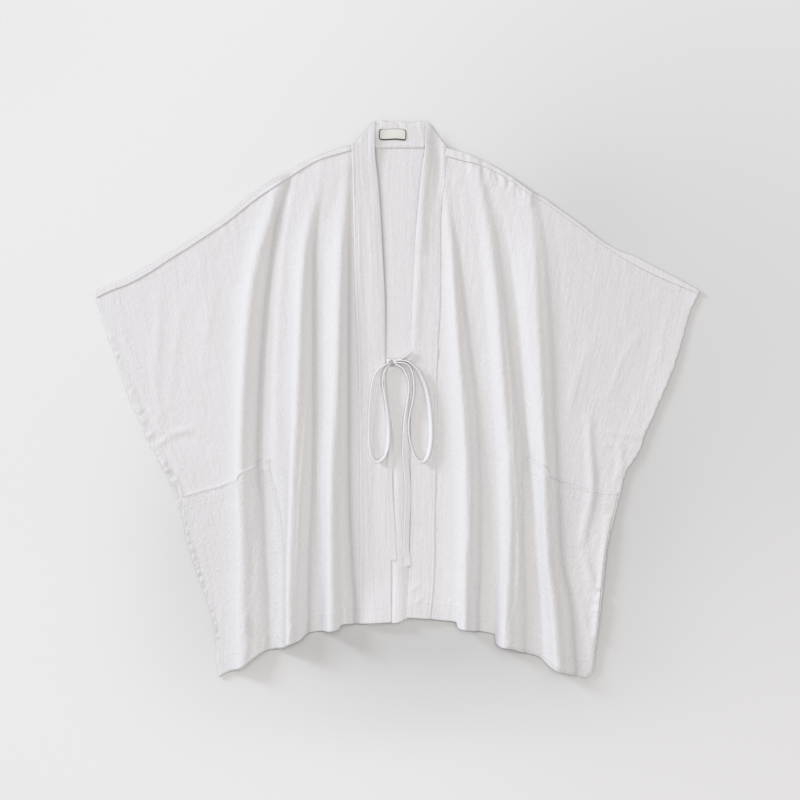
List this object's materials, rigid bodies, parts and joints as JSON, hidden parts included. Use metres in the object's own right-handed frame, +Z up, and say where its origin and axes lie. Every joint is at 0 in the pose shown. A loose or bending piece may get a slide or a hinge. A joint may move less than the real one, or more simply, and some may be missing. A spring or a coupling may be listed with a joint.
{
  "type": "kimono cardigan",
  "caption": "Loose open-front kimono cardigan laid flat on its back, with sleeves cut in one with the body, a folded neckband, patch pockets and narrow ties in a bow.",
  "frame": {"origin": "centre of the garment's outline, on the surface it lies on", "axes": "+X to the wearer's left across the sleeves, +Y towards the collar, +Z up from the surface through the layers"},
  "size_m": [1.004, 0.928, 0.0308],
  "materials": {
    "cloth": "matt white crinkled plain-weave cotton with a fine uneven slub",
    "band": "the same white cotton, doubled and pressed",
    "tie": "white cotton, folded and stitched into a narrow flat tie",
    "label": "plain woven label with a dark edge, left blank"
  },
  "bodies": {
    "root": {"back_panel": "cloth", "front_right": "cloth", "front_left": "cloth", "pocket_right": "cloth", "pocket_left": "cloth", "neckband_back": "band", "neckband_right": "band", "neckband_left": "band", "neck_label": "label", "bow_knot": "tie", "tie_right_lead": "tie", "tie_right_loop": "tie", "tie_right_tail": "tie", "tie_left_lead": "tie", "tie_left_loop": "tie", "tie_left_tail": "tie"}
  },
  "joints": []
}
